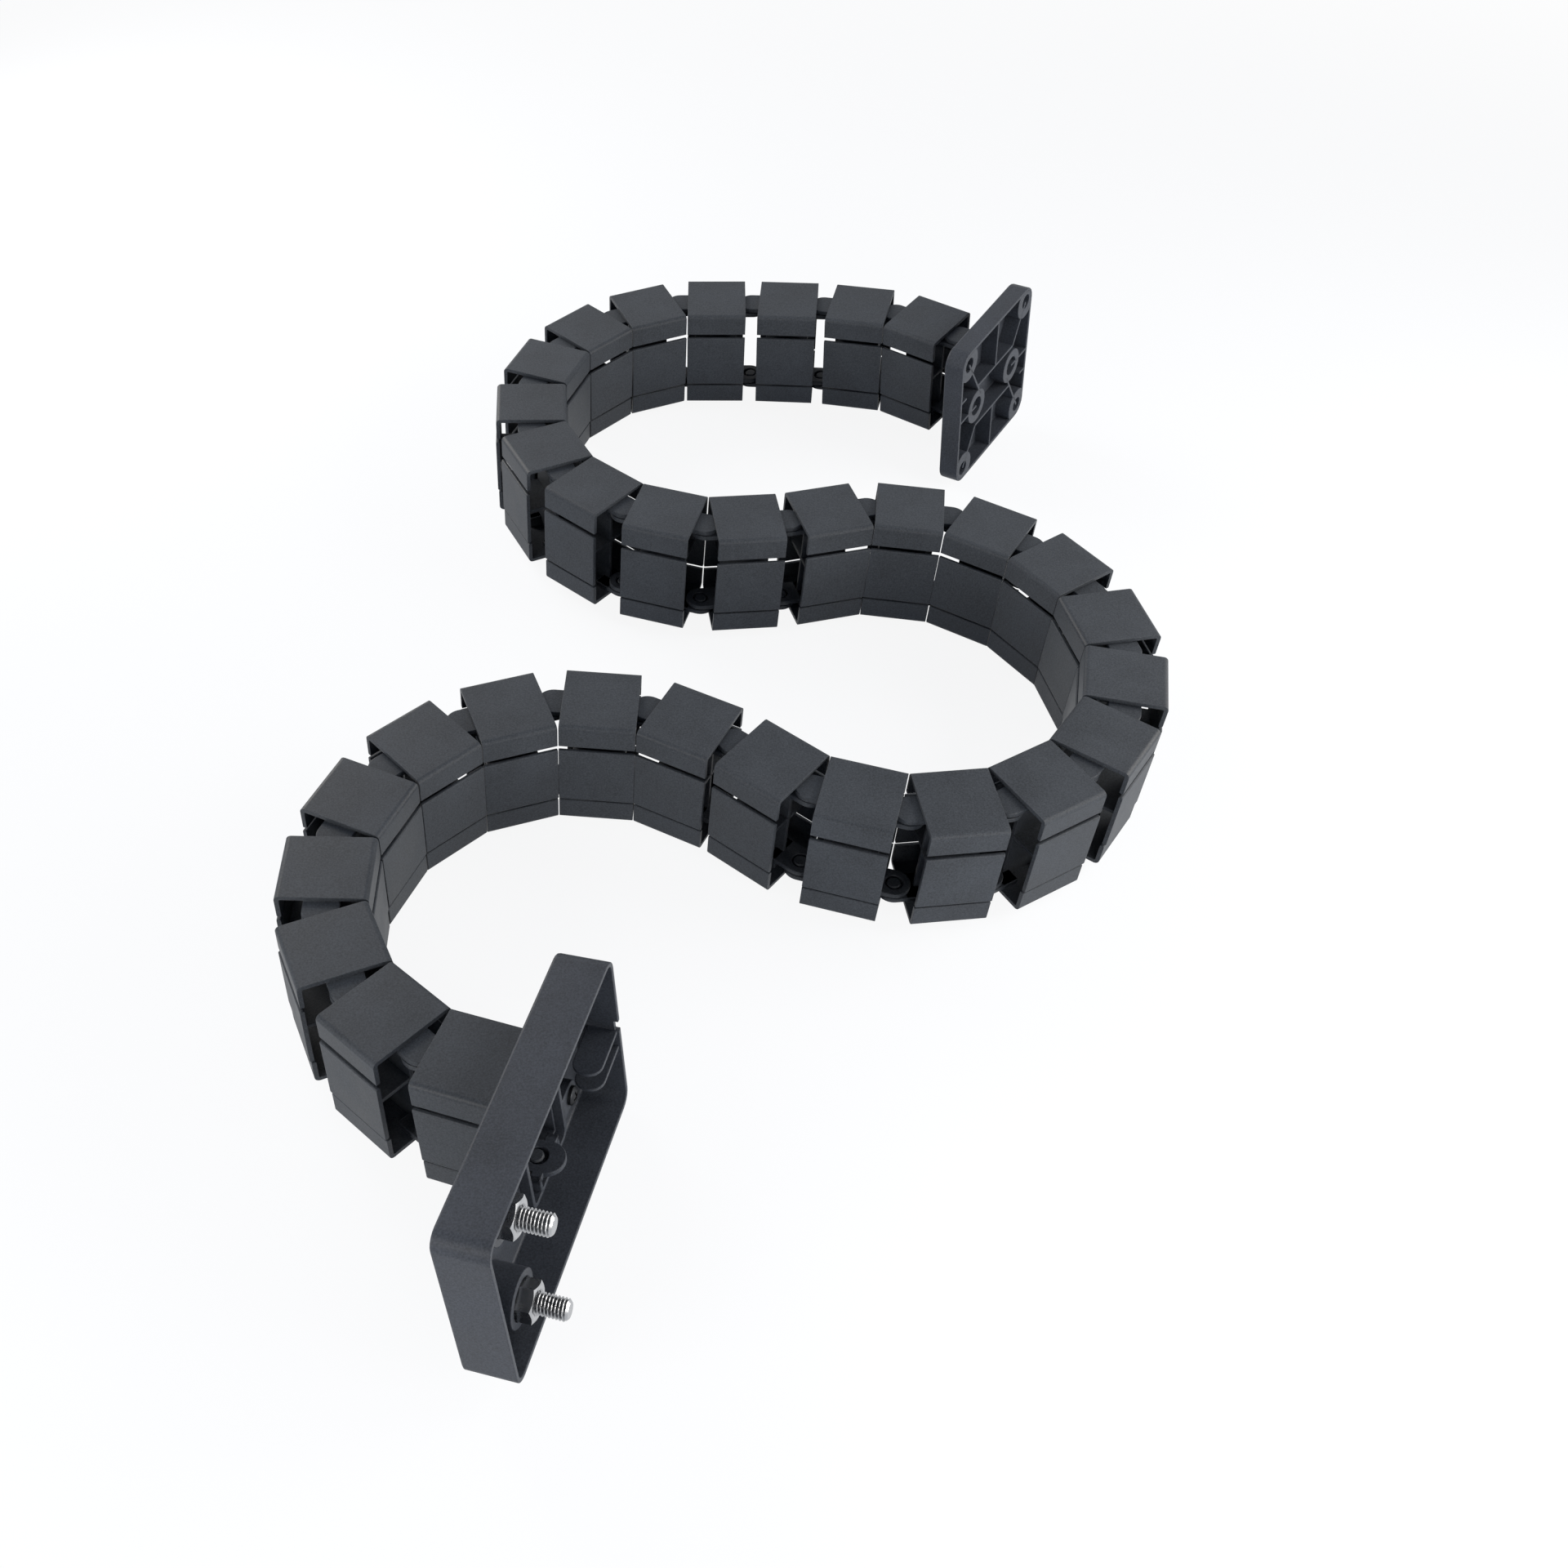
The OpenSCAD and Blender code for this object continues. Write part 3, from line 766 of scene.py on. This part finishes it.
def pan_screw(length):
    """Pan-head screw with a cross recess: a dome that falls with the cube of the radius and drops by the
    depth of the recess inside a cross, and a plain shank."""
    angle = directions(TURNED_POINTS)
    row = np.ones(TURNED_POINTS)
    share = np.linspace(DOME_CORE, 1, DOME_ROWS)[:, None]
    radii = SCREW_HEAD_R * share * row
    dome = SCREW_HEAD_H * (1 - DOME_DROP * share ** 3) * row
    across = np.minimum(np.abs(radii * np.cos(angle)), np.abs(radii * np.sin(angle)))
    inside = (across < CROSS_ARM) & (radii < CROSS_REACH * SCREW_HEAD_R)
    heights = -np.where(inside, dome - CROSS_DEPTH, dome)
    base = np.array((SCREW_HEAD_R, SCREW_R, SCREW_R))[:, None] * row
    base_x = np.array((0, 0, length))[:, None] * row
    return skin(polar_grid(np.vstack((radii, base)), np.vstack((heights, base_x))))


# Materials

# Plastic: size and depth of the mould grain, size of the flow marks, and strength of the grain's relief
GRAIN_MM = 0.7
GRAIN_DEPTH = 0.06
FLOW_MM = 22
GRAIN_RELIEF = 0.3
# Noise of both patterns: octaves, and how much of each finer one is kept
PLASTIC_DETAIL = 3.0
GRAIN_KEPT = 0.6
FLOW_KEPT = 0.55
# Share of the flow marks in the tone, and the span of noise that goes from dark to light
FLOW_SHARE = 0.3
TONE_SPAN = (0.35, 0.65)
# Span of noise that goes from satin to dull, and what that takes from and adds to the roughness
DULL_SPAN = (0.3, 0.7)
SATIN_LESS = 0.05
DULL_MORE = 0.07
PLASTIC_IOR = 1.49
PLASTIC_SPECULAR = 0.18

# Steel: size, depth and relief of the tool marks, size of duller spots and what they change in roughness
TOOL_MARK_MM = 0.4
TOOL_MARK_DEPTH = 0.01
TOOL_MARK_RELIEF = 0.1
DULL_SPOT_MM = 4
DULL_SPOT = 0.06
STEEL_DETAIL = 2.0
# Colour of the painted shade in the roots of a thread, mixed in by the depth of each point
THREAD_ROOT_SHADE = "#5c5e61"


def linear(code):
    """Linear colour of an sRGB hex value: a straight line near black, and then a power of 2.4."""
    value = np.array([int(code[i:i + 2], 16) for i in (1, 3, 5)]) / 255
    low = value / 12.92
    high = ((value + 0.055) / 1.055) ** 2.4
    return (*np.where(value <= 0.04045, low, high).tolist(), 1)


def add(tree, kind, settings=None, **inputs):
    """Adds a node with its settings. An input is a value or the output of another node, given by its name or
    by its number after an i."""
    node = tree.nodes.new(kind)
    for name, value in (settings or {}).items():
        setattr(node, name, value)
    for name, value in inputs.items():
        numbered = name[0] == "i" and name[1:].isdigit()
        socket = node.inputs[int(name[1:]) if numbered else name.replace("_", " ")]
        if isinstance(value, bpy.types.NodeSocket):
            tree.links.new(value, socket)
        else:
            socket.default_value = value
    return node


def new_material(name):
    """Material with an empty node tree."""
    material = bpy.data.materials.new(name)
    material.use_nodes = True
    tree = material.node_tree
    tree.nodes.clear()
    return material, tree


def per_metre(size_mm):
    """Noise scale at which a blob of the pattern has about this size."""
    return 1 / (size_mm * MM)


def moulded_plastic(name, dark, light, roughness):
    """Black plastic from a spark-eroded mould: a satin face with a fine even grain and faint cloudy flow
    marks. The real grain of about 0.1 mm is drawn as coarse as it needs to be to show."""
    material, tree = new_material(name)
    place = add(tree, "ShaderNodeTexCoord").outputs["Object"]
    grain = add(tree, "ShaderNodeTexNoise", Vector=place, Scale=per_metre(GRAIN_MM),
                Detail=PLASTIC_DETAIL, Roughness=GRAIN_KEPT)
    cloud = add(tree, "ShaderNodeTexNoise", Vector=place, Scale=per_metre(FLOW_MM),
                Detail=PLASTIC_DETAIL, Roughness=FLOW_KEPT)
    tone = add(tree, "ShaderNodeMix", {"data_type": "FLOAT"}, i0=FLOW_SHARE, i2=grain.outputs["Fac"],
               i3=cloud.outputs["Fac"])
    share = add(tree, "ShaderNodeMapRange", Value=tone.outputs[0], From_Min=TONE_SPAN[0],
                From_Max=TONE_SPAN[1])
    colour = add(tree, "ShaderNodeMix", {"data_type": "RGBA"}, i0=share.outputs[0],
                 i6=linear(dark), i7=linear(light))
    dull = add(tree, "ShaderNodeMapRange", Value=cloud.outputs["Fac"], From_Min=DULL_SPAN[0],
               From_Max=DULL_SPAN[1], To_Min=roughness - SATIN_LESS, To_Max=roughness + DULL_MORE)
    bump = add(tree, "ShaderNodeBump", Height=grain.outputs["Fac"], Strength=GRAIN_RELIEF,
               Distance=GRAIN_DEPTH * MM)
    shader = add(tree, "ShaderNodeBsdfPrincipled", Base_Color=colour.outputs[2], Roughness=dull.outputs[0],
                 Normal=bump.outputs[0], IOR=PLASTIC_IOR, Specular_IOR_Level=PLASTIC_SPECULAR)
    add(tree, "ShaderNodeOutputMaterial", Surface=shader.outputs[0])
    return material


def machined_steel(name, dark, light, roughness):
    """Steel, cold formed and plated: a bright grey metal with faint tool marks and slightly duller spots,
    darkened in the roots of a thread by painted shade."""
    material, tree = new_material(name)
    place = add(tree, "ShaderNodeTexCoord").outputs["Object"]
    marks = add(tree, "ShaderNodeTexNoise", Vector=place, Scale=per_metre(TOOL_MARK_MM), Detail=STEEL_DETAIL)
    spots = add(tree, "ShaderNodeTexNoise", Vector=place, Scale=per_metre(DULL_SPOT_MM), Detail=STEEL_DETAIL)
    colour = add(tree, "ShaderNodeMix", {"data_type": "RGBA"}, i0=spots.outputs["Fac"],
                 i6=linear(dark), i7=linear(light))
    # Painted shade: the colour turns darker towards the roots of a thread, by the thread_depth attribute
    root = add(tree, "ShaderNodeAttribute", {"attribute_name": "thread_depth"})
    shaded = add(tree, "ShaderNodeMix", {"data_type": "RGBA"}, i0=root.outputs["Fac"],
                 i6=colour.outputs[2], i7=linear(THREAD_ROOT_SHADE))
    dull = add(tree, "ShaderNodeMapRange", Value=spots.outputs["Fac"], To_Min=roughness - DULL_SPOT,
               To_Max=roughness + DULL_SPOT)
    bump = add(tree, "ShaderNodeBump", Height=marks.outputs["Fac"], Strength=TOOL_MARK_RELIEF,
               Distance=TOOL_MARK_DEPTH * MM)
    shader = add(tree, "ShaderNodeBsdfPrincipled", Base_Color=shaded.outputs[2], Metallic=1.0,
                 Roughness=dull.outputs[0], Normal=bump.outputs[0])
    add(tree, "ShaderNodeOutputMaterial", Surface=shader.outputs[0])
    return material


# Putting pieces in place

def mesh_object(name, shell):
    """Mesh object of a shell in millimetres, smooth apart from its sharp edges."""
    points, faces = shell
    mesh = bpy.data.meshes.new(name)
    mesh.from_pydata(points * MM, [], faces)
    mesh.polygons.foreach_set("use_smooth", np.ones(len(mesh.polygons), bool))
    mesh.set_sharp_from_angle(angle=np.radians(SHARP_DEG))
    piece = bpy.data.objects.new(name, mesh)
    bpy.context.scene.collection.objects.link(piece)
    return piece


def cut(shell, tool):
    """A shell less the tool's volume."""
    body, knife = mesh_object("body", shell), mesh_object("knife", tool)
    modifier = body.modifiers.new("cut", "BOOLEAN")
    modifier.operation = "DIFFERENCE"
    modifier.solver = "EXACT"
    modifier.object = knife
    mesh = body.evaluated_get(bpy.context.evaluated_depsgraph_get()).to_mesh()
    points = np.empty(len(mesh.vertices) * 3)
    mesh.vertices.foreach_get("co", points)
    faces = [list(face.vertices) for face in mesh.polygons]
    bpy.data.objects.remove(body)
    bpy.data.objects.remove(knife)
    return points.reshape(-1, 3) / MM, faces


def dress(name, shell, place, body, material, replaced):
    """Carries a shell to its place, finishes it and lets it ride on its body in a node's stead."""
    piece = mesh_object(name, carried(shell, place))
    piece.data.materials.append(material)
    flat = piece.modifiers.new("even faces", "WEIGHTED_NORMAL")
    flat.keep_sharp = True
    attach(piece, body)
    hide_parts(replaced)
    return piece


def mark_thread(piece, shell):
    """Attribute of how deep each point of a bolt lies in its thread: 0 at the crest, 1 at the root."""
    points = shell[0]
    deep = (BOLT_R - np.hypot(points[:, 1], points[:, 2])) / (THREAD_DEPTH * THREAD_PITCH)
    on_thread = (points[:, 0] > 0) & (points[:, 0] < BOLT_L - TIP_CHAMFER)
    # This depth sets how much painted shade darkens each point of the thread
    depth = piece.data.attributes.new("thread_depth", "FLOAT", "POINT")
    depth.data.foreach_set("value", np.where(on_thread, np.clip(deep, 0, 1), 0))


def build():
    """Makes the four materials and all pieces, from the chain to the tray's bolts."""
    plate_at, links_at, tray_at = chain_frames()
    # Polypropylene of the chain: satin black, slightly waxy
    chain_plastic = moulded_plastic("moulded_polypropylene", "#2a2d31", "#3f4348", 0.48)
    # ABS of the two ends: the same black, a little bluer and smoother
    end_plastic = moulded_plastic("moulded_abs", "#2a2d32", "#3f434a", 0.46)
    # Zinc on bolts and nuts: a bright cold grey that mirrors the room softly
    bright = machined_steel("bright_zinc_plated_steel", "#9c9ea1", "#babcbf", 0.27)
    # Black oxide on the screws: a dull metal almost as dark as the plastic
    black = machined_steel("black_oxide_steel", "#26282b", "#343639", 0.45)

    last = len(links_at)
    for i, (place, end) in enumerate(zip(links_at, link_ends()), 1):
        name = f"link_{i:02d}"
        body = "base" if i == last else name
        dress(f"{name}_moulding", link(end), place, body, chain_plastic, name)

    plate = joined(cut(plate_cup(), corner_drills()), plate_ribs(), plate_bosses())
    dress("mounting_plate_moulding", plate, plate_at, "plate", end_plastic, "mounting_plate")
    dress("plate_connector_moulding", plate_connector(), plate_at, "plate", chain_plastic,
          "plate_connector")
    under_head = PLATE_T - SKIN_T
    screws = joined(*[carried(pan_screw(SKIN_T + FLANGE_T), shift(under_head, side * SCREW_SPACING / 2))
                      for side in (-1, 1)])
    dress("plate_screws_crossed", screws, plate_at, "plate", black, "plate_screws")

    recesses = joined(tray_notch(), *[head_recess(y, z) for y, z in bolt_spots()])
    tray = joined(cut(tray_shell(), recesses), tray_fittings())
    dress("base_tray_moulding", tray, tray_at, "base", end_plastic, "base_tray")
    dress("base_connector_moulding", base_connector(), tray_at, "base", end_plastic,
          "base_connector")
    screw = carried(pan_screw(COLLAR_H + BOND), turn(2, 180))
    screws = joined(*[carried(screw, shift(FLOOR_X + COLLAR_H, y, z)) for y, z in ear_spots()])
    dress("base_connector_screws_crossed", screws, tray_at, "base", black,
          "base_connector_screws")
    for name, (y, z) in zip(("upper", "lower"), bolt_spots()):
        shell = bolt()
        piece = dress(f"bolt_{name}_threaded", carried(shell, shift(TRAY_X + HEAD_H, y, z)), tray_at, "base",
                      bright, f"bolt_{name}")
        mark_thread(piece, shell)
        dress(f"nut_{name}_chamfered", carried(hex_nut(), shift(NUT_X, y, z)), tray_at, "base", bright,
              f"nut_{name}")


# Stage, light and camera

# Side of the picture, focal length and place of the optical axis in pixels, and side of the sensor in mm
IMAGE = 1920
FOCAL_PX = 1984.3
AXIS_PX = (749.3, 980.5)
SENSOR = 36
# Place of the camera in mm, its tilt and roll in degrees, and the nearest distance that it sees in metres
CAMERA_AT = (-200.9, -756.0, 490.6)
CAMERA_DOWN = 47.61
CAMERA_ROLL = 1.2
CLIP_START = 0.01
# Floor: drop below the object in mm, half its side in metres, share of white near the object, and the
# distances in metres between which it turns wholly white
FLOOR_DROP = 0.3
FLOOR_REACH = 4.0
FLOOR_LIFT = 0.9
WHITE_FROM = 0.5
WHITE_AT = 1.5
ROOM_LIGHT = 0.35
WHITE = "#ffffff"
PAPER = "#e3ebf7"
ROOM_BLUE = "#b6cbf0"
LAMP_WHITE = "#fff9f1"
# Lamps: place, point faced and side, in metres, and watts
LAMPS = {
    "right": ((0.45, -0.22, 0.27), (0.03, -0.2, 0), 0.45, 4.4),
    "far_left": ((-0.65, 0.27, 0.3), (-0.25, 0, 0), 0.45, 4.6),
    "near": ((-0.1, -0.98, 0.2), (-0.2, -0.47, 0), 0.3, 0.9),
    "near_left": ((-0.65, -0.75, 0.2), (-0.26, -0.45, 0), 0.3, 2.3),
    "tray_side": ((0.16, -0.62, 0.1), (-0.21, -0.47, 0), 0.15, 1.0),
}


def add_camera():
    """Camera at the photograph's place: it looks along +Y and down, a little rolled, with its axis off the
    middle of the picture."""
    data = bpy.data.cameras.new("camera")
    data.sensor_width = SENSOR
    data.lens = FOCAL_PX / IMAGE * SENSOR
    data.shift_x = (IMAGE / 2 - AXIS_PX[0]) / IMAGE
    data.shift_y = (AXIS_PX[1] - IMAGE / 2) / IMAGE
    data.clip_start = CLIP_START
    camera = bpy.data.objects.new("camera", data)
    aim = turn(0, 90 - CAMERA_DOWN) @ turn(2, CAMERA_ROLL)
    camera.matrix_world = Matrix(shift(*np.array(CAMERA_AT) * MM) @ aim)
    bpy.context.scene.collection.objects.link(camera)
    bpy.context.scene.camera = camera


def seen_or_mirrored(tree):
    """1 where the camera sees a surface directly, in a mirror or through glass, and otherwise 0."""
    path = add(tree, "ShaderNodeLightPath").outputs
    direct = add(tree, "ShaderNodeMath", {"operation": "MAXIMUM"}, i0=path["Is Camera Ray"],
                 i1=path["Is Glossy Ray"])
    return add(tree, "ShaderNodeMath", {"operation": "MAXIMUM"}, i0=direct.outputs[0],
               i1=path["Is Transmission Ray"]).outputs[0]


def add_floor():
    """White floor about the object's middle: a diffuse sheet that keeps soft shadows, lifted to white where
    it is seen or mirrored, and wholly white further out."""
    low, high = np.array(cad_box[0]), np.array(cad_box[1])
    corners = [(x * FLOOR_REACH, y * FLOOR_REACH, 0) for x, y in ((-1, -1), (1, -1), (1, 1), (-1, 1))]
    mesh = bpy.data.meshes.new("floor")
    mesh.from_pydata(corners, [], [(0, 1, 2, 3)])
    floor = bpy.data.objects.new("floor", mesh)
    floor.location = (*(low + high)[:2] / 2, low[2] - FLOOR_DROP * MM)
    bpy.context.scene.collection.objects.link(floor)
    material, tree = new_material("white_paper")
    place = add(tree, "ShaderNodeTexCoord").outputs["Object"]
    away = add(tree, "ShaderNodeVectorMath", {"operation": "LENGTH"}, i0=place).outputs["Value"]
    white_share = add(tree, "ShaderNodeMapRange", {"interpolation_type": "SMOOTHSTEP"}, Value=away,
                      From_Min=WHITE_FROM, From_Max=WHITE_AT, To_Min=FLOOR_LIFT)
    lift = add(tree, "ShaderNodeMath", {"operation": "MULTIPLY"}, i0=seen_or_mirrored(tree),
               i1=white_share.outputs[0])
    paper = add(tree, "ShaderNodeBsdfDiffuse", Color=linear(PAPER))
    white = add(tree, "ShaderNodeEmission", Color=linear(WHITE), Strength=1.0)
    mixed = add(tree, "ShaderNodeMixShader", i0=lift.outputs[0], i1=paper.outputs[0], i2=white.outputs[0])
    add(tree, "ShaderNodeOutputMaterial", Surface=mixed.outputs[0])
    mesh.materials.append(material)


def add_world():
    """Even bluish room light, white where it is seen or mirrored."""
    world = bpy.data.worlds.new("room")
    world.use_nodes = True
    tree = world.node_tree
    tree.nodes.clear()
    room = add(tree, "ShaderNodeBackground", Color=linear(ROOM_BLUE), Strength=ROOM_LIGHT)
    white = add(tree, "ShaderNodeBackground", Color=linear(WHITE), Strength=1.0)
    mixed = add(tree, "ShaderNodeMixShader", i0=seen_or_mirrored(tree), i1=room.outputs[0],
                i2=white.outputs[0])
    add(tree, "ShaderNodeOutputWorld", Surface=mixed.outputs[0])
    bpy.context.scene.world = world


def add_lamp(name, at, target, side, watts):
    """Square area lamp whose back points away from what it faces, with its right side level."""
    data = bpy.data.lights.new(name, "AREA")
    data.size = side
    data.energy = watts
    data.color = linear(LAMP_WHITE)[:3]
    lamp = bpy.data.objects.new(name, data)
    back = unit(np.array(at, float) - np.array(target, float))
    right = unit(np.cross((0.0, 0.0, 1.0), back))
    matrix = np.eye(4)
    matrix[:3, :3] = np.column_stack((right, np.cross(back, right), back))
    matrix[:3, 3] = at
    lamp.matrix_world = Matrix(matrix)
    bpy.context.scene.collection.objects.link(lamp)


def light_stage():
    """Soft lamps low round the object, so that its two ends are lighter than its middle."""
    for name, (at, target, side, watts) in LAMPS.items():
        add_lamp(name, at, target, side, watts)
    add_floor()
    add_world()
    add_camera()


bpy.context.scene.view_settings.view_transform = "Standard"
build()
light_stage()
